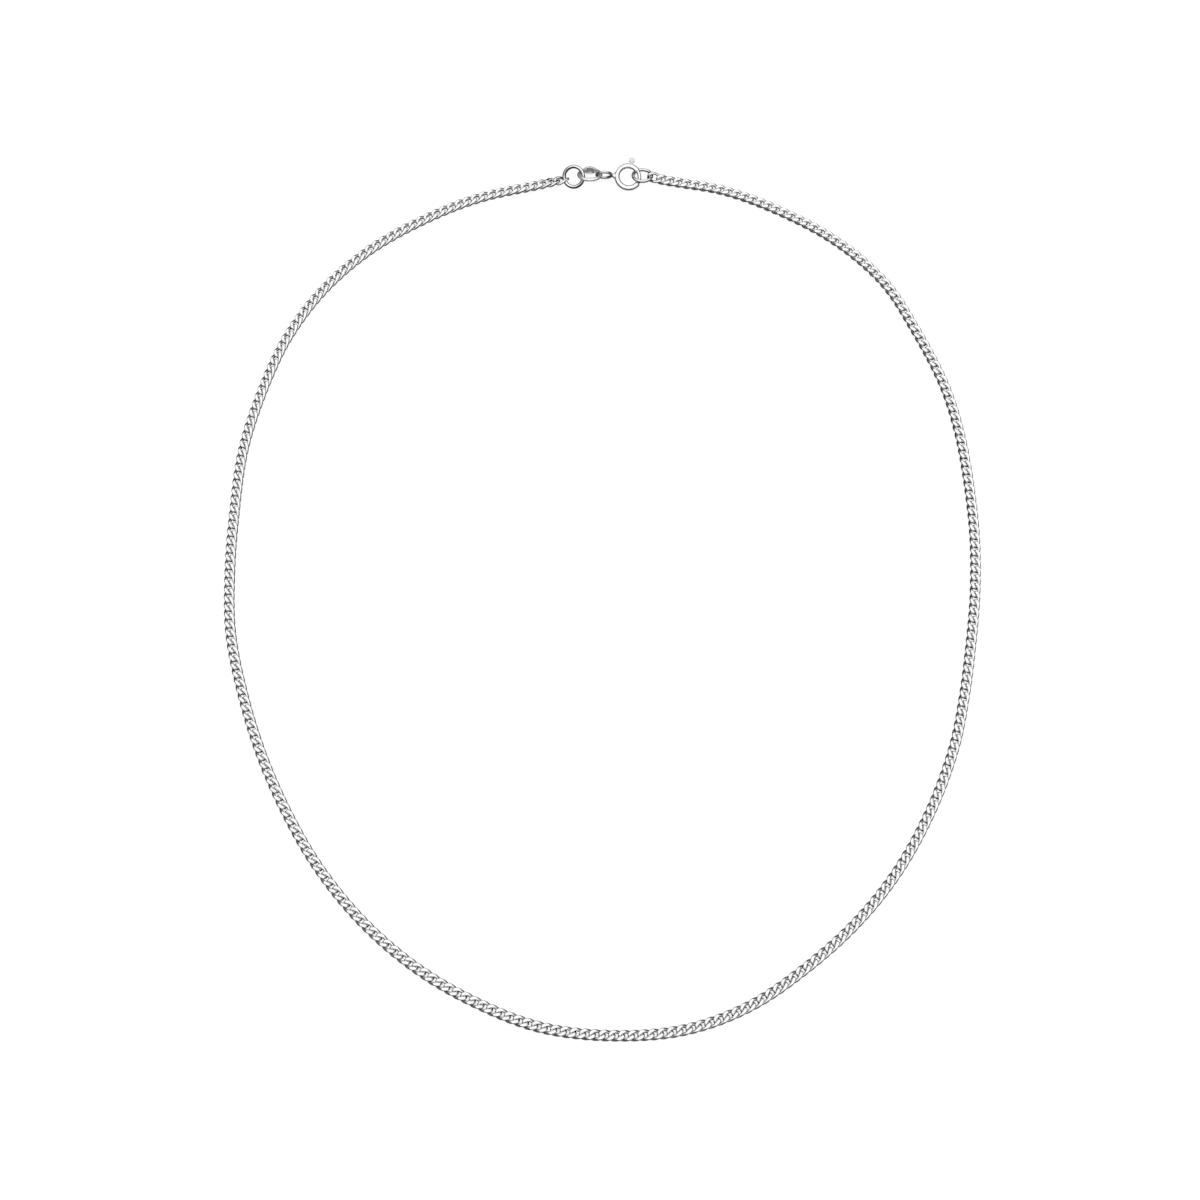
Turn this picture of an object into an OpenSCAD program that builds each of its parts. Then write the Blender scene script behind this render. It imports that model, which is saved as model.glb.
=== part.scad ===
// A curb chain necklace, laid down flat in an open loop and fastened with a spring ring.
// Millimetres. X runs across the loop, +Y points to the clasp, and the chain lies on z = 0.

/* [Chain] */
// Width of the chain across its links
chain_w = 2; // [1.8:0.1:2.4]
// Height of the chain as it lies, between its two flat faces
chain_h = 1.04; // [0.9:0.02:1.2]
// Free space between the pieces that hang in each other
play = 0.1; // [0.08:0.01:0.14]

/* [End links] */
// Length of the first and the last link over the wire
end_link_l = 3.1; // [3:0.05:3.3]
// Width of the first and the last link over the wire
end_link_w = 2.1; // [2.05:0.05:2.3]
// Thickness of their wire
end_link_wire = 0.5; // [0.44:0.02:0.52]
// How far their twisted wire rises and falls from its middle
end_link_twist = 0.33; // [0.28:0.01:0.38]

/* [Spring ring] */
// Outer diameter of the spring ring
spring_ring_d = 5.5; // [5.3:0.1:6]
// Thickness of its tube
spring_tube_d = 1; // [0.9:0.05:1.1]
// Thickness of the tube's wall
spring_wall = 0.1; // [0.08:0.01:0.12]
// Length of the soldered neck between the tube and the bail
neck_l = 0.35; // [0.3:0.05:0.6]
// Thickness of the neck
neck_d = 0.6; // [0.5:0.05:0.7]
// Outer diameter of the bail
bail_d = 3.5; // [3.3:0.1:3.8]
// Thickness of the bail's wire
bail_wire = 0.55; // [0.5:0.05:0.6]

/* [Trigger] */
// Space between the sliding bolt and the inside of the tube
bolt_clearance = 0.05; // [0.03:0.01:0.07]
// Thickness of the stem that carries the ball
stem_d = 0.4; // [0.3:0.05:0.45]
// Diameter of the ball under the fingernail
ball_d = 1.2; // [1:0.1:1.3]
// How far the ball's centre stands out from the middle of the tube
ball_reach = 1.17; // [1.15:0.01:1.4]
// Degrees that the trigger slides along the tube
trigger_travel = 75; // [70:1:78]

/* [Rings] */
// Outer diameter of the tag ring
tag_ring_d = 5; // [4.8:0.1:5.4]
// Thickness of its wire
tag_ring_wire = 0.72; // [0.66:0.02:0.74]
// Length of its flattened plate
tag_plate_l = 3.4; // [3:0.1:3.6]
// Height of its flattened plate at the middle
tag_plate_h = 1.45; // [1.2:0.05:1.6]
// Thickness of its flattened plate
tag_plate_t = 0.4; // [0.36:0.02:0.46]
// Outer diameter of the jump ring
jump_ring_d = 4.7; // [4.5:0.1:5]
// Thickness of its wire
jump_ring_wire = 0.72; // [0.66:0.02:0.74]
// Outer diameter of the end ring, which the clasp closes on
end_ring_d = 4.3; // [4.2:0.1:4.6]
// Thickness of its wire
end_ring_wire = 0.6; // [0.54:0.02:0.64]

/* [Hidden] */
$fn = 48;

// The middle line of the chain, from beside the end ring round the front to beside the jump ring
ROUTE = [
    [24, 82.5], [35.5, 77.5], [46, 70.75], [54.75, 61.75], [60.5, 51], [65.25, 39.5],
    [67.75, 29], [69, 18], [69.5, 7], [69, -4], [67.75, -14], [66, -24.5], [63.5, -35],
    [59, -46.5], [52.75, -57.75], [45.25, -67.25], [36, -75.75], [25.5, -83], [14, -87.25],
    [1.5, -88.25], [-11, -86.75], [-22.5, -82.25], [-33, -76], [-42.5, -67.75], [-50.5, -58],
    [-56.75, -47.5], [-62, -36], [-66, -24], [-68.75, -12], [-69.5, 0.5], [-69.25, 13],
    [-68.25, 25.5], [-65.25, 38], [-61, 49.5], [-54.5, 60], [-46, 68.75], [-35.5, 75.75],
    [-24, 81]
];
// Rings of the chain's solid for each stretch between two route points
chain_steps = 2;

// Each ring leans by a turn about X and then by one about Y
spring_turn = [16, 8];
tag_turn = [-31, 0];
jump_turn = [30.5, -20];
end_ring_turn = [-20, 0];
// The bail stands nearly upright on the spring ring and is bent up a little at the neck
bail_turn = [85.5, 5];
// Turns of the two end links about X, Y and Z, the last along the chain
left_turn = [-21.5, -1, 13.5];
right_turn = [18, 6, -14];

// Radii of the middle lines of the round wires
spring_r = (spring_ring_d - spring_tube_d) / 2;
bail_r = (bail_d - bail_wire) / 2;
tag_r = (tag_ring_d - tag_ring_wire) / 2;
jump_r = (jump_ring_d - jump_ring_wire) / 2;
end_ring_r = (end_ring_d - end_ring_wire) / 2;

// Angles round the spring ring: its mouth, the bolt across the mouth, and the ball
mouth = [-32.5, 37];
bolt_overlap = 8;
ball_angle = 80;
bolt_past_stem = 5;
slot_margin = 7;
bore_d = spring_tube_d - 2 * spring_wall;
bolt_d = bore_d - 2 * bolt_clearance;
slot_w = stem_d + 2 * bolt_clearance;

// Height of a leaning ring's centre when the ring lies on z = 0
function rest_height(r, wire, turn) = r * sqrt(1 - pow(cos(turn.x) * cos(turn.y), 2)) + wire / 2;

// A point of a piece after the piece's turns about X and about Y
function turned(v, turn) =
    let (
        y = v.y * cos(turn.x) - v.z * sin(turn.x),
        z = v.y * sin(turn.x) + v.z * cos(turn.x)
    )
    [v.x * cos(turn.y) + z * sin(turn.y), y, z * cos(turn.y) - v.x * sin(turn.y)];

// The spring ring is placed first, and each piece after it hangs in the one before
spring_at = [5, 85.3, rest_height(spring_r, spring_tube_d, spring_turn)];
bail_foot = spring_r + spring_tube_d / 2 + neck_l;
bail_reach = 2 * bail_r + bail_wire / 2;
bail_far = spring_at + turned(
    [-bail_foot - bail_reach * cos(bail_turn.y), 0, bail_reach * sin(bail_turn.y)],
    spring_turn
);
jump_y = spring_at.y - 0.18;
tag_y = spring_at.y - 0.08;
end_ring_y = spring_at.y + 0.46;
tag_x = bail_far.x + (bail_wire + tag_ring_wire) / 2 + play - tag_r;
jump_near = [jump_r * cos(jump_turn.y), 0, -jump_r * sin(jump_turn.y)];
jump_x = tag_x - tag_r + (tag_ring_wire + jump_ring_wire) / 2 + play - jump_near.x;
jump_at = [jump_x, jump_y, rest_height(jump_r, jump_ring_wire, jump_turn)];
// The tag ring hangs a little below the middle of the two wires that hold it
tag_sag = 0.18;
tag_at = [tag_x, tag_y, (jump_at.z + jump_near.z + bail_far.z) / 2 - tag_sag];
// The end ring slants through the spring ring, so it needs more room than a flat one
slant_room = 0.37;
end_ring_x = spring_at.x + spring_r * cos(spring_turn.y) + end_ring_r
    - (spring_tube_d + end_ring_wire) / 2 - slant_room - play;
end_ring_at = [end_ring_x, end_ring_y, rest_height(end_ring_r, end_ring_wire, end_ring_turn)];

// Each end link holds a ring's wire a little off its own middle and the ring's
left_reach = 0.56;
right_reach = 0.62;
left_shift = [0, -0.18, -0.07];
right_shift = [0, -0.37, 0.05];
function along(angle, reach) = [reach * cos(angle), reach * sin(angle), 0];
left_at = jump_at - jump_near + along(left_turn.z, -left_reach) + left_shift;
right_at = end_ring_at + [end_ring_r, 0, 0] + along(right_turn.z, right_reach) + right_shift;
chain_offset = end_link_l / 2 + play;
route = concat(
    [right_at + along(right_turn.z, chain_offset)],
    [for (p = ROUTE) [p.x, p.y, 0]],
    [left_at + along(left_turn.z, -chain_offset)]
);

// A smooth curve through b and c, with a and d as the points before and after them
function smooth(a, b, c, d, t) =
    (2 * b + (c - a) * t + (2 * a - 5 * b + 4 * c - d) * t * t
        + (3 * b - a - 3 * c + d) * t * t * t) / 2;

function smooth_path(pts, steps) =
    let (
        last = len(pts) - 1,
        padded = concat([2 * pts[0] - pts[1]], pts, [2 * pts[last] - pts[last - 1]])
    )
    concat(
        [
            for (i = [0 : last - 1]) for (k = [0 : steps - 1])
                smooth(padded[i], padded[i + 1], padded[i + 2], padded[i + 3], k / steps)
        ],
        [pts[last]]
    );

// The eight corners of the chain's cross-section, flat above and below
function octagon(w, h) =
    let (flat = tan(22.5))
    [
        [1, flat], [flat, 1], [-flat, 1], [-1, flat],
        [-1, -flat], [-flat, -1], [flat, -1], [1, -flat]
    ] * [[w / 2, 0], [0, h / 2]];

// Side faces between neighbouring rings of points, each ring with the same number of sides
function side_faces(rings, sides, closed) =
    [
        for (i = [0 : closed ? rings - 1 : rings - 2]) for (k = [0 : sides - 1])
            let (
                j = (i + 1) % rings,
                n = (k + 1) % sides
            )
            [i * sides + k, j * sides + k, j * sides + n, i * sides + n]
    ];

module placed(at, turn) {
    translate(at) rotate([turn.x, turn.y, 0]) children();
}

module wire_ring(r, wire) {
    rotate_extrude() translate([r, 0]) circle(d = wire);
}

module wire_arc(r, wire, from, to) {
    rotate_extrude(angle = to - from, start = from) translate([r, 0]) circle(d = wire);
}

// The chain's real links are finer than a solid needs, so this is the body that they fill
module chain() {
    path = smooth_path(route, chain_steps);
    last = len(path) - 1;
    section = octagon(chain_w, chain_h);
    sides = len(section);
    points = [
        for (i = [0 : last])
            let (
                step = path[min(i + 1, last)] - path[max(i - 1, 0)],
                across = [-step.y, step.x, 0] / norm([step.x, step.y])
            )
            for (corner = section)
                [path[i].x, path[i].y, chain_h / 2] + across * corner.x + [0, 0, corner.y]
    ];
    caps = [
        [for (k = [0 : sides - 1]) k],
        [for (k = [sides - 1 : -1 : 0]) last * sides + k]
    ];
    color("silver") polyhedron(points, concat(side_faces(last + 1, sides, false), caps));
}

// One curb link: an oval of wire, twisted so that its neighbours lie flat beside it
module curb_link() {
    sections = 16;
    sides = 6;
    half_l = (end_link_l - end_link_wire) / 2;
    half_w = (end_link_w - end_link_wire) / 2;
    points = [
        for (i = [0 : sections - 1])
            let (
                t = i * 360 / sections,
                centre = [half_l * cos(t), half_w * sin(t), -end_link_twist * sin(2 * t)],
                run = [-half_l * sin(t), half_w * cos(t), -2 * end_link_twist * cos(2 * t)],
                out = [run.y, -run.x, 0] / norm([run.x, run.y]),
                up = cross(out, run) / norm(run)
            )
            for (k = [0 : sides - 1])
                centre + (out * cos(k * 360 / sides) + up * sin(k * 360 / sides)) * end_link_wire / 2
    ];
    polyhedron(points, side_faces(sections, sides, true));
}

module end_link_left() {
    color("silver") translate(left_at) rotate(left_turn) curb_link();
}

module end_link_right() {
    color("silver") translate(right_at) rotate(right_turn) curb_link();
}

module jump_ring() {
    color("silver") placed(jump_at, jump_turn) wire_ring(jump_r, jump_ring_wire);
}

// A ring of round wire, beaten flat along its far side into a small bare plate with an oval edge
module tag_ring() {
    plate_angle = 2 * asin(tag_plate_l / 2 / tag_r);
    edge_r = (tag_plate_l * tag_plate_l + tag_plate_h * tag_plate_h) / 4 / tag_plate_h;
    color("silver") placed(tag_at, tag_turn) {
        wire_ring(tag_r, tag_ring_wire);
        intersection() {
            rotate_extrude(angle = plate_angle, start = 90 - plate_angle / 2)
                translate([tag_r, 0]) square([tag_plate_t, tag_plate_h], center = true);
            plate_edge(edge_r - tag_plate_h / 2, edge_r);
            plate_edge(tag_plate_h / 2 - edge_r, edge_r);
        }
    }
}

// A round bar across the tag ring, whose side is one curved edge of the plate
module plate_edge(height, r) {
    translate([0, 0, height]) rotate([-90, 0, 0]) cylinder(r = r, h = tag_ring_d);
}

// The hollow tube with its slot, the neck and the bail are soldered into one piece
module spring_ring() {
    color("silver") placed(spring_at, spring_turn) {
        difference() {
            wire_arc(spring_r, spring_tube_d, mouth[1], mouth[0] + 360);
            wire_ring(spring_r, bore_d);
            rotate_extrude(
                angle = trigger_travel + 2 * slot_margin,
                start = ball_angle - slot_margin
            )
                translate([spring_r, -slot_w / 2]) square([spring_tube_d, slot_w]);
        }
        translate([-bail_foot - bail_wire / 2, 0, 0]) rotate([0, 90, 0])
            cylinder(d = neck_d, h = neck_l + (bail_wire + spring_wall) / 2);
        translate([-bail_foot, 0, 0]) rotate([bail_turn.x, bail_turn.y, 0])
            translate([-bail_r - bail_wire / 2, 0, 0]) wire_ring(bail_r, bail_wire);
    }
}

// The bolt across the mouth and the ball on its stem slide round the spring ring together
module trigger() {
    color("silver") placed(spring_at, spring_turn) {
        wire_arc(spring_r, bolt_d, mouth[0] - bolt_overlap, ball_angle + bolt_past_stem);
        rotate([0, 0, ball_angle]) {
            translate([spring_r, 0, 0]) rotate([0, 90, 0]) cylinder(d = stem_d, h = ball_reach);
            translate([spring_r + ball_reach, 0, 0]) sphere(d = ball_d);
        }
    }
}

module end_ring() {
    color("silver") placed(end_ring_at, end_ring_turn) wire_ring(end_ring_r, end_ring_wire);
}

chain();
end_link_left();
end_link_right();
jump_ring();
tag_ring();
spring_ring();
trigger();
end_ring();
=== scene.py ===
import math

import bpy
import numpy as np
from mathutils import Matrix, Vector


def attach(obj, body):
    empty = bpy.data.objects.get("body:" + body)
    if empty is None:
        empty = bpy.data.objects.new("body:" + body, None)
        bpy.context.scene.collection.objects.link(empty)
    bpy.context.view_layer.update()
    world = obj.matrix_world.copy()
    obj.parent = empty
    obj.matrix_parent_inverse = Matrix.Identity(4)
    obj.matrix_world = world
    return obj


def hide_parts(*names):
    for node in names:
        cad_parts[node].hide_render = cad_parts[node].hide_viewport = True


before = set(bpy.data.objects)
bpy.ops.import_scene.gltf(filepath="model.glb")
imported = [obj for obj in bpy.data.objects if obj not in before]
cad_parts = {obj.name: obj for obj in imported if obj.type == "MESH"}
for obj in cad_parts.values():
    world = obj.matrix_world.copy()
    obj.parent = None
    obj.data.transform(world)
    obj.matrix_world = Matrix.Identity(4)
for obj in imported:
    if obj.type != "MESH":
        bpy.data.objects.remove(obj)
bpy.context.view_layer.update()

# A fine curb chain necklace in polished silver, closed by a spring ring.
# Sizes are in millimetres and angles in degrees, as in the part's source, and MM turns the sizes
# into the frame's metres. Only the camera's place and reach and the chain's route are in metres.

MM = 0.001
SEED = 11

# The photograph's view: the camera looks along +Y, down onto the loop
PHOTO_PX = 1200
FOCAL_PX = 2757
SENSOR_MM = 36.0
CAMERA_ELEVATION = 66.5
CAMERA_DISTANCE = 0.5114
CAMERA_TARGET = Vector((-0.0006, -0.00565, 0.0))
CAMERA_CLIP = (0.01, 10)

# Chain
CHAIN_W = 2.0
CHAIN_H = 1.04
LINK_L = 3.0
LINK_WIRE = 0.62
LINK_TWIST = 0.41
LINK_STEPS = 284
PLAY = 0.1
END_LINK_L = 3.1
END_LINK_W = 2.1
END_LINK_WIRE = 0.5
END_LINK_TWIST = 0.33

# A link's mesh: the sections along its wire, the sides round the wire, and the first and last
# point of a flat face, counted in each half of the sides
LINK_SECTIONS = 48
LINK_SIDES = 24
FLAT_ENDS = (1, 4)
# The share of a cut's width that is flat, how far past the cut its worn edges reach, and the
# least half angle that a flat's points are spread over where the wire isn't cut
FLAT_SHARE = 0.77
FLAT_WORN = 13
FLAT_LEAST = 14

# The steps of the smooth line from one point of the route to the next
ROUTE_STEPS = 40
# A link's yaw follows the line from this far behind the link to this far ahead of it
YAW_REACH = 0.85
# The place of the first link, from either end, that lies out of line, and by how much at most
LOOSE_FROM = 7
LOOSE_ROLL = 0.8
LOOSE_YAW = 0.6

# Spring ring
SPRING_RING_D = 5.5
SPRING_TUBE_D = 1.0
SPRING_WALL = 0.1
NECK_L = 0.35
NECK_D = 0.6
BAIL_D = 3.5
BAIL_WIRE = 0.55
BOLT_CLEARANCE = 0.05
STEM_D = 0.4
BALL_D = 1.2
BALL_REACH = 1.17
TRIGGER_TRAVEL = 75
MOUTH = (-32.5, 37)
BOLT_OVERLAP = 8
BALL_ANGLE = 80
BOLT_PAST_STEM = 5
SLOT_MARGIN = 7

# The rounding of the tube's cut edges, which turn by more than the angle
TUBE_ROUNDING = 0.025
TUBE_ROUNDING_ANGLE = 50
# The fillet between stem and ball starts this far before they meet, and ends on the ball at
# this multiple of the angle where they meet
FILLET_BEFORE = 0.08
FILLET_PAST = 1.15
# How much less the neck's radius is than the source's, how much more it is again at the bail, and
# by how much it grows across and in height where it meets the tube
NECK_SLIM = 0.04
NECK_FOOT = 0.05
NECK_FLARE_W = 0.45
NECK_FLARE_H = 0.14

# Rings
TAG_RING_D = 5.0
TAG_RING_WIRE = 0.72
TAG_PLATE_L = 3.4
TAG_PLATE_H = 1.45
TAG_PLATE_T = 0.4
JUMP_RING_D = 4.7
JUMP_RING_WIRE = 0.72
END_RING_D = 4.3
END_RING_WIRE = 0.6
WIRE_SIDES = 24

# The tag ring's plate: where its flatness ends and over what stretch it fades, in halves of the
# plate's length, how square its section is, and how far its lower edge turns inwards
PLATE_END = 1.12
PLATE_FADE = 0.35
PLATE_SQUARE = 0.72
PLATE_LIP = 0.15

# Turns about X, Y and Z in degrees, as in the part's source
SPRING_TURN = (16, 8, 0)
TAG_TURN = (-31, 0, 0)
JUMP_TURN = (30.5, -20, 0)
END_RING_TURN = (-20, 0, 0)
BAIL_TURN = (85.5, 5, 0)
LEFT_TURN = (-21.5, -1, 13.5)
RIGHT_TURN = (18, 6, -14)

# How far each ring's centre lies across from the spring ring's
JUMP_SHIFT_Y = -0.18
TAG_SHIFT_Y = -0.08
END_RING_SHIFT_Y = 0.46
# The tag ring hangs a little below the middle of the two wires that hold it
TAG_SAG = 0.18
# The end ring slants through the spring ring, so it needs more room than a flat one
SLANT_ROOM = 0.37
# Each end link holds a ring's wire a little off its own middle and the ring's
LEFT_REACH = 0.56
RIGHT_REACH = 0.62
LEFT_SHIFT_YZ = (-0.18, -0.07)
RIGHT_SHIFT_YZ = (-0.37, 0.05)

# The middle line of the chain in metres, from beside the end ring round the front to beside the
# jump ring
ROUTE = [
    (0.024, 0.0825), (0.0355, 0.0775), (0.046, 0.07075), (0.05475, 0.06175), (0.0605, 0.051),
    (0.06525, 0.0395), (0.06775, 0.029), (0.069, 0.018), (0.0695, 0.007), (0.069, -0.004),
    (0.06775, -0.014), (0.066, -0.0245), (0.0635, -0.035), (0.059, -0.0465), (0.05275, -0.05775),
    (0.04525, -0.06725), (0.036, -0.07575), (0.0255, -0.083), (0.014, -0.08725),
    (0.0015, -0.08825), (-0.011, -0.08675), (-0.0225, -0.08225), (-0.033, -0.076),
    (-0.0425, -0.06775), (-0.0505, -0.058), (-0.05675, -0.0475), (-0.062, -0.036),
    (-0.066, -0.024), (-0.06875, -0.012), (-0.0695, 0.0005), (-0.06925, 0.013),
    (-0.06825, 0.0255), (-0.06525, 0.038), (-0.061, 0.0495), (-0.0545, 0.06), (-0.046, 0.06875),
    (-0.0355, 0.07575), (-0.024, 0.081),
]

# How the first links after each end link come down to lie flat:
# (step from the link before, height above the flat links, roll, pitch)
RIGHT_LANDING = [
    (1.78, 0.3, 12.5, 3.5), (1.71, 0.19, 7, 2.5), (1.7, 0.1, 3, 3), (1.69, 0.03, 1, 1),
    (1.69, 0.01, 0.5, 0.5),
]
LEFT_LANDING = [
    (1.78, 0.23, -17, -1), (1.71, 0.2, -11.5, -1.5), (1.71, 0.14, -6.5, -2.5),
    (1.7, 0.08, -2.5, -1.5), (1.69, 0.03, -0.5, -1),
]

# Each metal's tone, roughness, grain in millimetres, share of bare metal and painted shade on its
# sides and undersides
METALS = {
    "chain": (0.93, 0.1, 0.5, 1.0, 0.0),
    "jump_ring": (0.93, 0.06, 0.6, 1.0, 0.85),
    "tag_ring": (0.93, 0.18, 0.6, 0.75, 0.0),
    "end_ring": (0.93, 0.12, 0.6, 1.0, 0.65),
    "bail": (0.93, 0.18, 0.6, 0.85, 0.6),
    "clasp": (0.94, 0.1, 0.7, 0.91, 0.0),
    "bolt": (0.93, 0.12, 0.7, 1.0, 0.5),
    "ball": (0.96, 0.4, 0.5, 0.1, 0.0),
}
SILVER_TINT = (0.998, 0.998, 1.004)
# The tone in the darkest clouds, as a share of the metal's own, and the noise that the clouds
# clear between
CLOUD_DARK = 0.86
CLOUD_NOISE = (0.32, 0.62)
# The roughness in dark and in clear places, as shares of the metal's own, and their noise
CLOUD_ROUGH = (1.5, 0.7)
CLOUD_ROUGH_NOISE = (0.3, 0.7)
# Painted shade darkens the surface where its normal's Z is below the first number, and fades to
# nothing past the second
SIDE_SHADE_NORMAL = (0.75, 0.9)
# The fine scratches: how many noise cells to the millimetre, how they are stretched and turned
# (in radians), how deep they are and how strongly they show
SCRATCH_CELLS = 2.5
SCRATCH_STRETCH = (1.0, 6.0, 6.0)
SCRATCH_TURN = (0.4, 0.2, 0.7)
SCRATCH_DEPTH = 0.02
SCRATCH_STRENGTH = 0.06

# The floor's half width, its own tone and its glow, which loses the shadows
FLOOR_HALF = 1500
FLOOR_TONE = 0.3
FLOOR_GLOW = 0.8
# The studio's brightness by the height that it is seen at: (elevation, brightness)
STUDIO = [
    (-90, 0.01), (-14, 0.01), (-8, 0.3), (2, 0.3), (6, 0.02), (23, 0.02), (33, 1.16), (90, 1.19),
]
# The studio leans: heights count this much more towards the camera, and as much less away from it
STUDIO_LEAN = 0.1


# Places of the pieces, worked out as in the part's source

def turned(turn):
    """The rotation that turns about X, then Y, then Z."""
    x, y, z = (math.radians(angle) for angle in turn)
    return Matrix.Rotation(z, 4, "Z") @ Matrix.Rotation(y, 4, "Y") @ Matrix.Rotation(x, 4, "X")


def rest_height(radius, wire, turn):
    """Height of a leaning ring's centre when the ring lies on the floor."""
    flat = math.cos(math.radians(turn[0])) * math.cos(math.radians(turn[1]))
    return radius * math.sqrt(1 - flat * flat) + wire / 2


def along(angle, reach):
    """A step in the chain's plane."""
    return Vector((reach * math.cos(math.radians(angle)), reach * math.sin(math.radians(angle)), 0))


def place(at, turn):
    """The matrix that puts a piece made in millimetres round its own origin where it belongs."""
    return Matrix.Scale(MM, 4) @ Matrix.Translation(at) @ turned(turn)


SPRING_R = (SPRING_RING_D - SPRING_TUBE_D) / 2
BAIL_R = (BAIL_D - BAIL_WIRE) / 2
TAG_R = (TAG_RING_D - TAG_RING_WIRE) / 2
JUMP_R = (JUMP_RING_D - JUMP_RING_WIRE) / 2
END_RING_R = (END_RING_D - END_RING_WIRE) / 2
BORE_D = SPRING_TUBE_D - 2 * SPRING_WALL
BOLT_D = BORE_D - 2 * BOLT_CLEARANCE
SLOT_W = STEM_D + 2 * BOLT_CLEARANCE

spring_at = Vector((5, 85.3, rest_height(SPRING_R, SPRING_TUBE_D, SPRING_TURN)))
spring_place = place(spring_at, SPRING_TURN)
bail_foot = SPRING_R + SPRING_TUBE_D / 2 + NECK_L
bail_reach = 2 * BAIL_R + BAIL_WIRE / 2
bail_lean = math.radians(BAIL_TURN[1])
bail_far = spring_at + turned(SPRING_TURN) @ Vector(
    (-bail_foot - bail_reach * math.cos(bail_lean), 0, bail_reach * math.sin(bail_lean))
)
tag_x = bail_far.x + (BAIL_WIRE + TAG_RING_WIRE) / 2 + PLAY - TAG_R
jump_near = turned((0, JUMP_TURN[1], 0)) @ Vector((JUMP_R, 0, 0))
jump_at = Vector((
    tag_x - TAG_R + (TAG_RING_WIRE + JUMP_RING_WIRE) / 2 + PLAY - jump_near.x,
    spring_at.y + JUMP_SHIFT_Y,
    rest_height(JUMP_R, JUMP_RING_WIRE, JUMP_TURN),
))
tag_at = Vector((
    tag_x, spring_at.y + TAG_SHIFT_Y, (jump_at.z + jump_near.z + bail_far.z) / 2 - TAG_SAG
))
end_ring_at = Vector((
    spring_at.x + SPRING_R * math.cos(math.radians(SPRING_TURN[1])) + END_RING_R
    - (SPRING_TUBE_D + END_RING_WIRE) / 2 - SLANT_ROOM - PLAY,
    spring_at.y + END_RING_SHIFT_Y,
    rest_height(END_RING_R, END_RING_WIRE, END_RING_TURN),
))
left_at = jump_at - jump_near + along(LEFT_TURN[2], -LEFT_REACH) + Vector((0, *LEFT_SHIFT_YZ))
right_at = (
    end_ring_at + Vector((END_RING_R, *RIGHT_SHIFT_YZ)) + along(RIGHT_TURN[2], RIGHT_REACH)
)
chain_offset = END_LINK_L / 2 + PLAY


# Meshes

def add_mesh(name, points, faces, matrix, sharp=None, smooth=True):
    """A mesh object from points in millimetres, moved by the matrix into the frame's metres.

    sharp(first, second) says which edges are sharp, from their ends' numbers.
    """
    points = np.asarray(points, float).reshape(-1, 3)
    move = np.array(matrix)
    points = points @ move[:3, :3].T + move[:3, 3]
    mesh = bpy.data.meshes.new(name)
    mesh.from_pydata(points.tolist(), [], [list(face) for face in faces])
    mesh.validate()
    mesh.update()
    if smooth:
        mesh.polygons.foreach_set("use_smooth", np.ones(len(mesh.polygons), bool))
    if sharp is not None:
        ends = np.empty(len(mesh.edges) * 2, np.int32)
        mesh.edges.foreach_get("vertices", ends)
        ends = ends.reshape(-1, 2)
        marks = mesh.attributes.new("sharp_edge", "BOOLEAN", "EDGE")
        marks.data.foreach_set("value", sharp(ends[:, 0], ends[:, 1]))
    obj = bpy.data.objects.new(name, mesh)
    bpy.context.collection.objects.link(obj)
    return obj


def tube_faces(rings, sides, closed):
    """Quads between neighbouring rings of points, with end caps where the tube isn't closed."""
    ring = np.arange(rings if closed else rings - 1)[:, None] * sides
    after = (ring + sides) % (rings * sides)
    side = np.arange(sides)[None, :]
    beside = (side + 1) % sides
    quads = np.stack([ring + side, after + side, after + beside, ring + beside], axis=-1)
    faces = [tuple(quad) for quad in quads.reshape(-1, 4).tolist()]
    if not closed:
        faces.append(tuple(range(sides)))
        faces.append(tuple(reversed(range((rings - 1) * sides, rings * sides))))
    return faces


def dress(obj, body, material, slot, *nodes):
    """Gives a piece its body and its material, and hides the nodes that it stands for; the slot is
    not used.
    """
    obj.data.materials.append(material)
    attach(obj, body)
    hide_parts(*nodes)


# The chain

def smooth_route(points):
    """A Catmull-Rom curve through the points."""
    p = np.vstack([2 * points[0] - points[1], points, 2 * points[-1] - points[-2]])
    a, b, c, d = (p[i : len(p) - 3 + i, None] for i in range(4))
    t = (np.arange(ROUTE_STEPS) / ROUTE_STEPS)[None, :, None]
    curve = (
        2 * b + (c - a) * t + (2 * a - 5 * b + 4 * c - d) * t**2
        + (3 * b - a - 3 * c + d) * t**3
    ) / 2
    return np.vstack([curve.reshape(-1, points.shape[1]), points[-1]])


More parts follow.
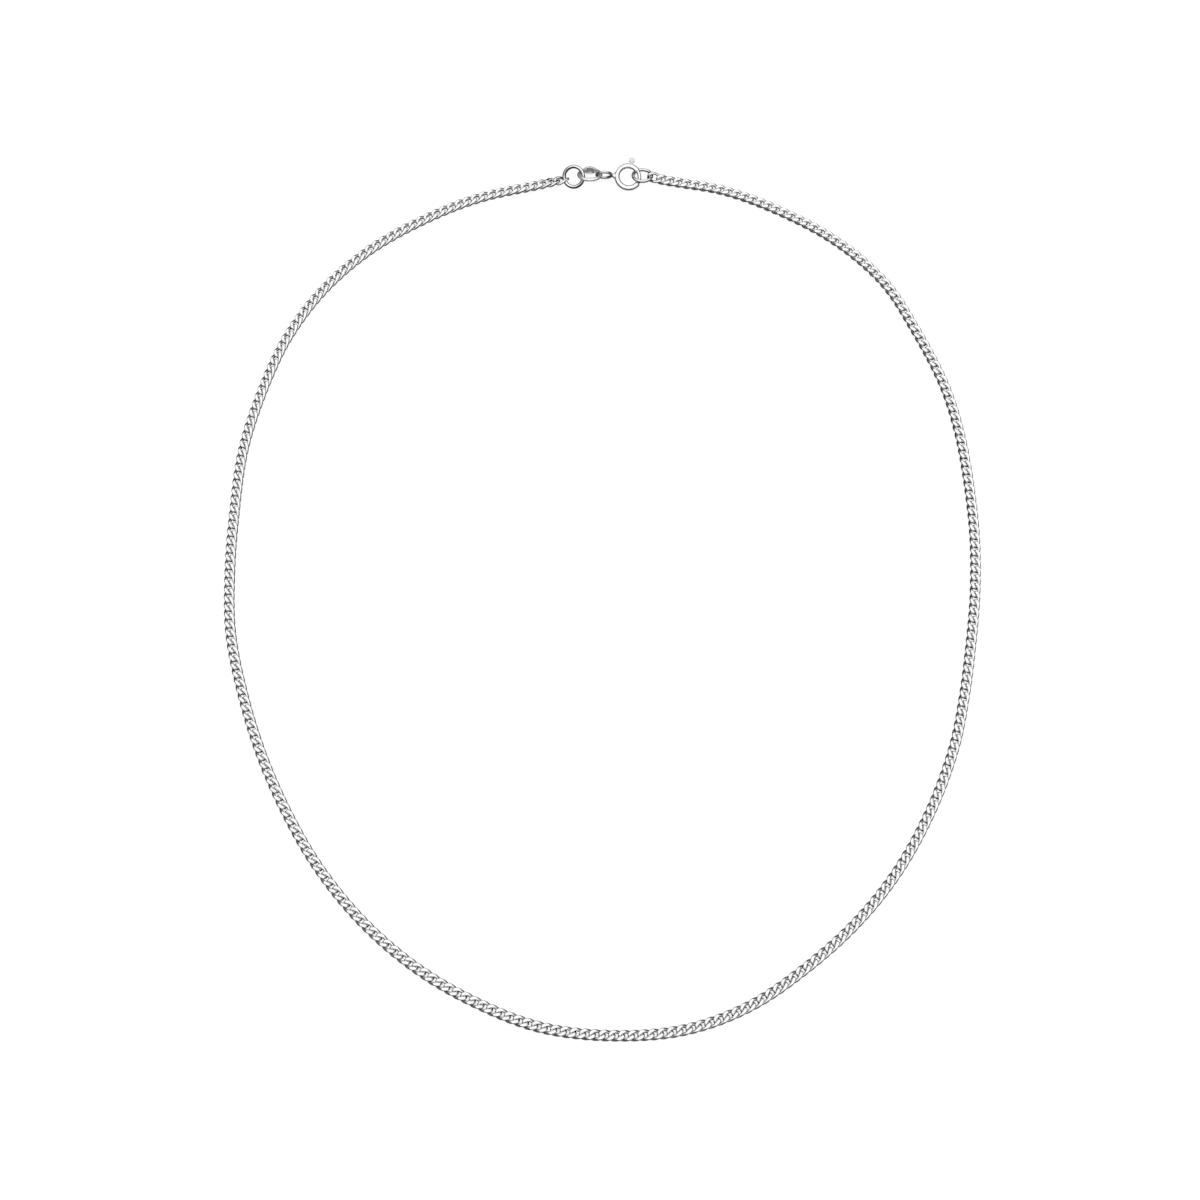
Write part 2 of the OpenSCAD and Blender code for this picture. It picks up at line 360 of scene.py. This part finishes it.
def link_rings(length, width, wire, twist):
    """Rings of points along a curb link's twisted wire, cut flat above and below.

    Returns the points (LINK_SECTIONS, LINK_SIDES, 3) and which sections are cut.
    """
    t = np.linspace(0, 2 * np.pi, LINK_SECTIONS, endpoint=False)
    long, wide, radius = (length - wire) / 2, (width - wire) / 2, wire / 2
    centre = np.stack([long * np.cos(t), wide * np.sin(t), -twist * np.sin(2 * t)], 1)
    run = np.stack([-long * np.sin(t), wide * np.cos(t), -2 * twist * np.cos(2 * t)], 1)
    run /= np.linalg.norm(run, axis=1)[:, None]
    out = np.stack([run[:, 1], -run[:, 0], 0 * t], 1)
    out /= np.linalg.norm(out, axis=1)[:, None]
    up = np.cross(out, run)

    # The heights at which the wire is cut, in shares of its radius: 1 and -1 leave it whole
    half = CHAIN_H / 2
    top = np.clip((half - centre[:, 2]) / (radius * up[:, 2]), -1, 1)
    bottom = np.clip((-half - centre[:, 2]) / (radius * up[:, 2]), -1, 1)
    whole = 0.999
    least = math.radians(FLAT_LEAST)
    cut_top = np.maximum(np.arccos(top), least)[:, None]
    cut_bottom = np.maximum(np.arccos(-bottom), least)[:, None]
    worn = math.radians(FLAT_WORN)
    across = FLAT_SHARE * np.array([-1, -1 / 3, 1 / 3, 1])

    def flat(cut):
        """Angles from the flat's middle: its worn edge, the flat and the other worn edge."""
        return np.hstack([-cut - worn, np.arcsin(np.sin(cut) * across), cut + worn])

    quarter = np.pi / 2
    between = LINK_SIDES // 2 - len(across) - 2
    side = np.arange(1, between + 1) / (between + 1)
    right = -quarter + cut_bottom + worn + side * (np.pi - cut_bottom - cut_top - 2 * worn)
    angles = np.hstack([
        quarter + flat(cut_top), np.pi - right[:, ::-1], -quarter + flat(cut_bottom), right
    ])
    rise = np.clip(np.sin(angles), bottom[:, None], top[:, None])
    points = (
        centre[:, None]
        + out[:, None] * (radius * np.cos(angles))[..., None]
        + up[:, None] * (radius * rise)[..., None]
    )
    return points, (top < whole) | (bottom > -whole)


def link_poses():
    """The centre and the turns of every link, from the right end link to the left one."""
    start = np.array(right_at + along(RIGHT_TURN[2], chain_offset))[:2]
    end = np.array(left_at - along(LEFT_TURN[2], chain_offset))[:2]
    line = smooth_route(np.vstack([start, np.array(ROUTE) / MM, end]))
    line = np.vstack([np.array(right_at)[:2], line, np.array(left_at)[:2]])
    run = np.r_[0, np.cumsum(np.linalg.norm(np.diff(line, axis=0), axis=1))]

    def at(lengths):
        """The points of the line that lie these lengths along it."""
        return np.stack([np.interp(lengths, run, line[:, i]) for i in range(2)], 1)

    right, left = np.array(RIGHT_LANDING), np.array(LEFT_LANDING)[::-1]
    first = np.cumsum(right[:, 0])
    last = run[-1] - np.cumsum(left[::-1, 0])[::-1]
    between = LINK_STEPS - 1 - len(first) - len(last)
    stops = np.r_[
        0, first, np.linspace(first[-1], last[0], between + 2)[1:-1], last, run[-1]
    ]
    ahead = at(stops + YAW_REACH) - at(stops - YAW_REACH)
    yaw = np.degrees(np.arctan2(ahead[:, 1], ahead[:, 0]))
    yaw[0], yaw[-1] = RIGHT_TURN[2], LEFT_TURN[2]
    rise, roll, pitch = np.zeros((3, len(stops)))
    for values, column in ((rise, 1), (roll, 2), (pitch, 3)):
        values[1 : 1 + len(right)] = right[:, column]
        values[-1 - len(left) : -1] = left[:, column]
    rng = np.random.default_rng(SEED)
    loose = slice(LOOSE_FROM, -LOOSE_FROM)
    for values, most in ((roll, LOOSE_ROLL), (yaw, LOOSE_YAW)):
        values[loose] += rng.uniform(-most, most, len(stops) - 2 * LOOSE_FROM)
    return np.column_stack([at(stops), rise + CHAIN_H / 2]), np.column_stack([roll, pitch, yaw])


def joined_links(name, link, centres, turns):
    """One mesh that holds a link for every centre and turn."""
    points, cut = link
    template = points.reshape(-1, 3)
    rotations = np.array([np.array(turned(turn))[:3, :3] for turn in turns])
    points = np.einsum("nij,pj->npi", rotations, template) + centres[:, None]
    base = np.array(tube_faces(LINK_SECTIONS, LINK_SIDES, True))
    starts = np.arange(len(centres)) * len(template)
    faces = (base[None] + starts[:, None, None]).reshape(-1, 4)
    flat_end = np.isin(np.arange(LINK_SIDES) % (LINK_SIDES // 2), FLAT_ENDS)

    def crisp(first, second):
        """The edges where a flat face meets the round of the wire."""
        side = first % LINK_SIDES
        sections = [ends % len(template) // LINK_SIDES for ends in (first, second)]
        return (side == second % LINK_SIDES) & flat_end[side] & cut[sections].all(0)

    return add_mesh(name, points, faces.tolist(), Matrix.Scale(MM, 4), crisp)


def build_chain(material):
    """The curb links in four joined runs, and the two end links."""
    centres, turns = link_poses()
    link = link_rings(LINK_L, CHAIN_W, LINK_WIRE, LINK_TWIST)
    runs = ("right_back", "right_front", "left_front", "left_back")
    stops = np.linspace(1, LINK_STEPS, len(runs) + 1).astype(int)
    for name, first, last in zip(runs, stops, stops[1:]):
        piece = joined_links("curb_links_" + name, link, centres[first:last], turns[first:last])
        dress(piece, "necklace", material, "chain_silver", "chain")
    link = link_rings(END_LINK_L, END_LINK_W, END_LINK_WIRE, END_LINK_TWIST)
    for side, at, turn in (("right", right_at, RIGHT_TURN), ("left", left_at, LEFT_TURN)):
        piece = joined_links("end_link_wire_" + side, link, np.array([at]), np.array([turn]))
        dress(piece, "necklace", material, "chain_silver", "end_link_" + side)


# Rings and clasp

def circle(sides):
    """The points of a circle of radius 1."""
    angle = np.linspace(0, 2 * np.pi, sides, endpoint=False)
    return np.stack([np.cos(angle), np.sin(angle)], 1)


def ring_points(radius, section, angles):
    """A cross-section carried round a ring: section(angle) gives its (radial, axial) points."""
    rings = []
    for angle in angles:
        radial, axial = section(angle).T
        reach = radius + radial
        turn = math.radians(angle)
        rings.append(np.stack([reach * math.cos(turn), reach * math.sin(turn), axial], 1))
    return np.array(rings)


def wire_ring(name, radius, wire, matrix, steps=96):
    """A closed ring of round wire."""
    section = circle(WIRE_SIDES) * wire / 2
    angles = np.linspace(0, 360, steps, endpoint=False)
    points = ring_points(radius, lambda _: section, angles)
    return add_mesh(name, points, tube_faces(steps, WIRE_SIDES, True), matrix)


def smooth_step(x):
    """Goes smoothly from 0 to 1 as x does."""
    x = min(max(x, 0.0), 1.0)
    return x * x * (3 - 2 * x)


def tag_ring_piece():
    """A ring of round wire, flattened along its far side into a plate with an oval edge."""
    half_angle = math.degrees(math.asin(TAG_PLATE_L / 2 / TAG_R))
    edge_r = (TAG_PLATE_L**2 + TAG_PLATE_H**2) / 4 / TAG_PLATE_H
    wire = TAG_RING_WIRE / 2
    steps, sides = 160, 48
    cos, sin = circle(sides).T

    def section(angle):
        """The wire's section, which turns into the plate's towards the far side."""
        off = abs(angle - 90) / half_angle
        flat = smooth_step((PLATE_END - off) / PLATE_FADE)
        reach = TAG_R * math.sin(math.radians(min(off, 1) * half_angle))
        height = math.sqrt(max(edge_r**2 - reach**2, 0)) - (edge_r - TAG_PLATE_H / 2)
        high = wire + (max(height, wire) - wire) * flat
        thick = wire + (TAG_PLATE_T / 2 - wire) * flat
        power = 1 - PLATE_SQUARE * flat
        radial = thick * np.sign(cos) * np.abs(cos) ** power
        axial = high * np.sign(sin) * np.abs(sin) ** power
        # The inner face turns inwards along its lower edge
        lip = PLATE_LIP * flat * np.maximum(-axial / high, 0) ** 3
        return np.stack([radial - lip * (cos < 0), axial], 1)

    points = ring_points(TAG_R, section, np.linspace(0, 360, steps, endpoint=False))
    return add_mesh(
        "tag_ring_band", points, tube_faces(steps, sides, True), place(tag_at, TAG_TURN)
    )


def soften(obj, width, angle):
    """Rounds over the edges that turn by more than the angle, width in millimetres."""
    bevel = obj.modifiers.new("rounded_edges", "BEVEL")
    bevel.width = width * MM
    bevel.segments = 2
    bevel.limit_method = "ANGLE"
    bevel.angle_limit = math.radians(angle)


def slotted_tube_faces(in_slot, sides, open_sides):
    """Faces of a tube with a wall, open at both ends, whose two skins meet round the slot too.

    in_slot says which steps along the tube lie in the slot, and open_sides which sides are
    open there. The points of the inner skin follow those of the outer one.
    """
    rings = len(in_slot) + 1
    shift = rings * sides
    faces = []

    def at(ring, side):
        """The number of a point of the outer skin."""
        return ring * sides + side % sides

    def wall(start, end, flip):
        """Closes the wall between the outer edge from start to end and the inner one."""
        if flip:
            start, end = end, start
        faces.append((start, end, end + shift, start + shift))

    for ring in range(rings - 1):
        for side in range(sides):
            if in_slot[ring] and side in open_sides:
                continue
            first, second = at(ring, side), at(ring, side + 1)
            quad = (first, first + sides, second + sides, second)
            faces.append(quad)
            faces.append(tuple(point + shift for point in reversed(quad)))
        if in_slot[ring]:
            for side, flip in ((open_sides[0], False), (open_sides[-1] + 1, True)):
                wall(at(ring, side), at(ring + 1, side), flip)
    slot_rings = np.flatnonzero(in_slot).tolist()
    for ring, flip in ((slot_rings[0], True), (slot_rings[-1] + 1, False)):
        for side in open_sides:
            wall(at(ring, side), at(ring, side + 1), flip)
    for ring, flip in ((0, False), (rings - 1, True)):
        for side in range(sides):
            wall(at(ring, side), at(ring, side + 1), flip)
    return faces


def spring_tube_piece():
    """The hollow tube of the spring ring, open at the mouth, with the slot for the stem."""
    outer, inner = SPRING_TUBE_D / 2, BORE_D / 2
    slot_half = math.asin(SLOT_W / 2 / outer)
    slot_from, slot_to = BALL_ANGLE - SLOT_MARGIN, BALL_ANGLE + TRIGGER_TRAVEL + SLOT_MARGIN
    steps_before, steps_in_slot, steps_past = 12, 36, 66
    long_way = np.unique(np.r_[
        np.linspace(MOUTH[1], slot_from, steps_before),
        np.linspace(slot_from, slot_to, steps_in_slot),
        np.linspace(slot_to, MOUTH[0] + 360, steps_past),
    ])
    # The section's points start and end at the slot's edges, and two more lie across the slot
    sides = 36
    around = np.linspace(slot_half, 2 * np.pi - slot_half, sides - 2)
    around = np.r_[around, 2 * np.pi - slot_half / 3, 2 * np.pi + slot_half / 3]
    section = np.stack([np.cos(around), np.sin(around)], 1)
    skins = [ring_points(SPRING_R, lambda _: section * r, long_way) for r in (outer, inner)]
    centres = (long_way[:-1] + long_way[1:]) / 2
    in_slot = (centres > slot_from) & (centres < slot_to)
    faces = slotted_tube_faces(in_slot, sides, range(sides - 3, sides))
    tube = add_mesh("spring_ring_tube", np.array(skins), faces, spring_place)
    soften(tube, TUBE_ROUNDING, TUBE_ROUNDING_ANGLE)
    return tube


def neck_piece():
    """The soldered neck, which flares onto the tube and ends inside the tube's wall."""
    start = -bail_foot - BAIL_WIRE / 2
    mid_wall = (SPRING_TUBE_D - SPRING_WALL) / 2
    steps, sides = 21, 32
    cos, sin = circle(sides).T

    def ring(share, size=1.0):
        """Points round the neck: share is the way to the tube, size shrinks the ring there."""
        waist = NECK_D / 2 - NECK_SLIM + NECK_FOOT * (1 - share) ** 3
        y = (waist + NECK_FLARE_W * share**2) * size * cos
        z = -(waist + NECK_FLARE_H * share**2) * size * sin
        wall = -np.sqrt((SPRING_R + np.sqrt(mid_wall**2 - z**2)) ** 2 - y**2)
        return np.stack([start + (wall - start) * share, y, z], 1)

    # The last rings shrink along the middle of the tube's wall and close the neck there
    rings = [ring(share) for share in np.linspace(0, 1, steps)]
    rings += [ring(1, size) for size in (0.8, 0.6, 0.4, 0.2, 0.03)]

    def rim(first, second):
        """The edges where the flare ends in the wall."""
        return (first // sides == steps - 1) & (second // sides == steps - 1)

    faces = tube_faces(len(rings), sides, False)
    return add_mesh("spring_ring_neck", np.array(rings), faces, spring_place, rim)


def bail_piece():
    """The bail, standing nearly upright on the neck."""
    matrix = (
        spring_place
        @ Matrix.Translation((-bail_foot, 0, 0))
        @ turned(BAIL_TURN)
        @ Matrix.Translation((-BAIL_R - BAIL_WIRE / 2, 0, 0))
    )
    return wire_ring("spring_ring_bail", BAIL_R, BAIL_WIRE, matrix, 80)


def bolt_piece():
    """The bolt that closes the mouth, with rounded ends."""
    first, last = MOUTH[0] - BOLT_OVERLAP, BALL_ANGLE + BOLT_PAST_STEM
    radius = BOLT_D / 2
    tip = math.degrees(radius / SPRING_R)
    # The tips are round: their sections stand closer towards the end, and never shrink to nothing
    tip_turns = np.linspace(0.15, np.pi / 2, 7)
    least = 0.02
    steps, sides = 60, 28
    angles = np.r_[
        first + tip * (1 - np.cos(tip_turns)),
        np.linspace(first + tip, last - tip, steps)[1:-1],
        last - tip * (1 - np.cos(tip_turns[::-1])),
    ]

    def section(angle):
        """The bolt's round section, which shrinks towards either end."""
        off = min(angle - first, last - angle) / tip
        size = math.sqrt(max(1 - (1 - min(off, 1)) ** 2, least))
        return circle(sides) * radius * size

    points = ring_points(SPRING_R, section, angles)
    return add_mesh(
        "trigger_bolt", points, tube_faces(len(angles), sides, False), spring_place
    )


def ball_piece():
    """The ball on its stem, turned in one piece about its own X axis."""
    ball, stem = BALL_D / 2, STEM_D / 2
    centre = SPRING_R + BALL_REACH
    meet = math.asin(stem / ball)
    stem_end = centre - ball * math.cos(meet) - FILLET_BEFORE
    profile = [(x, stem) for x in (SPRING_R, SPRING_R + STEM_D, stem_end)]
    # The ball's far end is a very small flat face
    small_end = 0.05
    steps, sides = 26, 32
    for angle in np.linspace(meet * FILLET_PAST, math.pi - small_end, steps):
        profile.append((centre - ball * math.cos(angle), ball * math.sin(angle)))
    cos, sin = circle(sides).T
    rings = np.array([np.stack([np.full(sides, x), r * cos, -r * sin], 1) for x, r in profile])
    matrix = spring_place @ turned((0, 0, BALL_ANGLE))
    return add_mesh("trigger_ball", rings, tube_faces(len(rings), sides, False), matrix)


def build_clasp(metals):
    """Every ring between the two end links, and the spring ring with its trigger."""
    jump = wire_ring("jump_ring_wire", JUMP_R, JUMP_RING_WIRE, place(jump_at, JUMP_TURN))
    dress(jump, "necklace", metals["jump_ring"], "ring_silver", "jump_ring")
    dress(tag_ring_piece(), "necklace", metals["tag_ring"], "ring_silver", "tag_ring")
    end_place = place(end_ring_at, END_RING_TURN)
    end = wire_ring("end_ring_wire", END_RING_R, END_RING_WIRE, end_place)
    dress(end, "necklace", metals["end_ring"], "ring_silver", "end_ring")
    dress(spring_tube_piece(), "necklace", metals["clasp"], "clasp_silver", "spring_ring")
    dress(neck_piece(), "necklace", metals["bail"], "clasp_silver", "spring_ring")
    dress(bail_piece(), "necklace", metals["bail"], "clasp_silver", "spring_ring")
    dress(bolt_piece(), "trigger", metals["bolt"], "clasp_silver", "trigger")
    dress(ball_piece(), "trigger", metals["ball"], "clasp_silver", "trigger")


# Materials

def map_range(tree, value, source, target):
    """Takes a node's value from the source range to the target range."""
    node = tree.nodes.new("ShaderNodeMapRange")
    for ends, numbers in (("From ", source), ("To ", target)):
        node.inputs[ends + "Min"].default_value = numbers[0]
        node.inputs[ends + "Max"].default_value = numbers[1]
    tree.links.new(value, node.inputs["Value"])
    return node.outputs["Result"]


def silver(name, tone, rough, grain_mm, metal, side_shade):
    """Silver of the given tone and roughness, faintly clouded and finely scratched.

    A painted shade darkens the wire's sides and undersides, where its normal's Z is low.
    """
    material = bpy.data.materials.new(name)
    material.use_nodes = True
    tree = material.node_tree
    nodes, links = tree.nodes, tree.links
    shader = nodes["Principled BSDF"]
    shader.inputs["Metallic"].default_value = metal
    where = nodes.new("ShaderNodeTexCoord").outputs["Object"]

    cloud = nodes.new("ShaderNodeTexNoise")
    cloud.inputs["Scale"].default_value = 1 / (grain_mm * MM)
    cloud.inputs["Detail"].default_value = 4
    links.new(where, cloud.inputs["Vector"])
    colour = nodes.new("ShaderNodeValToRGB")
    for element, noise, share in zip(colour.color_ramp.elements, CLOUD_NOISE, (CLOUD_DARK, 1)):
        element.position = noise
        element.color = (*[tone * share * c for c in SILVER_TINT], 1)
    links.new(cloud.outputs["Fac"], colour.inputs["Fac"])
    rough_range = [rough * share for share in CLOUD_ROUGH]
    gloss = map_range(tree, cloud.outputs["Fac"], CLOUD_ROUGH_NOISE, rough_range)
    links.new(gloss, shader.inputs["Roughness"])

    # Painted shade: the base colour is darkened where the surface's normal faces sideways or down
    surface = nodes.new("ShaderNodeNewGeometry")
    facing = nodes.new("ShaderNodeSeparateXYZ")
    links.new(surface.outputs["Normal"], facing.inputs["Vector"])
    unshaded = map_range(tree, facing.outputs["Z"], SIDE_SHADE_NORMAL, (1 - side_shade, 1.0))
    shaded_colour = nodes.new("ShaderNodeVectorMath")
    shaded_colour.operation = "SCALE"
    links.new(colour.outputs["Color"], shaded_colour.inputs["Vector"])
    links.new(unshaded, shaded_colour.inputs["Scale"])
    links.new(shaded_colour.outputs["Vector"], shader.inputs["Base Color"])

    stretch = nodes.new("ShaderNodeMapping")
    stretch.inputs["Scale"].default_value = SCRATCH_STRETCH
    stretch.inputs["Rotation"].default_value = SCRATCH_TURN
    links.new(where, stretch.inputs["Vector"])
    lines = nodes.new("ShaderNodeTexNoise")
    lines.inputs["Scale"].default_value = SCRATCH_CELLS / MM
    lines.inputs["Detail"].default_value = 6
    lines.inputs["Roughness"].default_value = 0.65
    links.new(stretch.outputs["Vector"], lines.inputs["Vector"])
    bump = nodes.new("ShaderNodeBump")
    bump.inputs["Strength"].default_value = SCRATCH_STRENGTH
    bump.inputs["Distance"].default_value = SCRATCH_DEPTH * MM
    links.new(lines.outputs["Fac"], bump.inputs["Height"])
    links.new(bump.outputs["Normal"], shader.inputs["Normal"])
    return material


# Stage

def build_camera():
    """The camera at the photograph's place and angle."""
    lift = math.radians(CAMERA_ELEVATION)
    data = bpy.data.cameras.new("photo_camera")
    data.sensor_width = SENSOR_MM
    data.lens = FOCAL_PX / PHOTO_PX * SENSOR_MM
    data.clip_start, data.clip_end = CAMERA_CLIP
    camera = bpy.data.objects.new("photo_camera", data)
    bpy.context.collection.objects.link(camera)
    back = Vector((0, -math.cos(lift), math.sin(lift)))
    camera.location = CAMERA_TARGET + back * CAMERA_DISTANCE
    camera.rotation_mode = "QUATERNION"
    camera.rotation_quaternion = (-back).to_track_quat("-Z", "Y")
    bpy.context.scene.camera = camera


def build_floor():
    """A plain white floor, bright enough to lose its shadows."""
    half = FLOOR_HALF
    points = [(-half, -half, 0), (half, -half, 0), (half, half, 0), (-half, half, 0)]
    floor = add_mesh("floor", points, [(0, 1, 2, 3)], Matrix.Scale(MM, 4), smooth=False)
    material = bpy.data.materials.new("floor_white")
    material.use_nodes = True
    shader = material.node_tree.nodes["Principled BSDF"]
    shader.inputs["Base Color"].default_value = (FLOOR_TONE, FLOOR_TONE, FLOOR_TONE, 1)
    shader.inputs["Roughness"].default_value = 1.0
    shader.inputs["Emission Color"].default_value = (1, 1, 1, 1)
    shader.inputs["Emission Strength"].default_value = FLOOR_GLOW
    floor.data.materials.append(material)
    floor.visible_glossy = False


def build_light():
    """A studio that is white overhead, with a dark room round it and a pale band low down."""
    world = bpy.data.worlds.new("studio")
    world.use_nodes = True
    tree = world.node_tree
    nodes, links = tree.nodes, tree.links
    where = nodes.new("ShaderNodeTexCoord")
    split = nodes.new("ShaderNodeSeparateXYZ")
    links.new(where.outputs["Generated"], split.inputs["Vector"])
    leaning = nodes.new("ShaderNodeMath")
    leaning.operation = "MULTIPLY_ADD"
    leaning.inputs[1].default_value = -STUDIO_LEAN
    links.new(split.outputs["Y"], leaning.inputs[0])
    links.new(split.outputs["Z"], leaning.inputs[2])
    height = map_range(tree, leaning.outputs["Value"], (-1, 1), (0, 1))

    bands = nodes.new("ShaderNodeValToRGB")
    elements = bands.color_ramp.elements
    while len(elements) < len(STUDIO):
        elements.new(0.5)
    peak = max(level for _, level in STUDIO)
    for element, (elevation, level) in zip(elements, STUDIO):
        element.position = (math.sin(math.radians(elevation)) + 1) / 2
        element.color = (level / peak, level / peak, level / peak, 1)
    links.new(height, bands.inputs["Fac"])
    background = nodes["Background"]
    background.inputs["Strength"].default_value = peak
    links.new(bands.outputs["Color"], background.inputs["Color"])
    bpy.context.scene.world = world
    bpy.context.scene.view_settings.view_transform = "Standard"


build_camera()
build_floor()
build_light()
metals = {name: silver("silver_" + name, *values) for name, values in METALS.items()}
build_chain(metals["chain"])
build_clasp(metals)
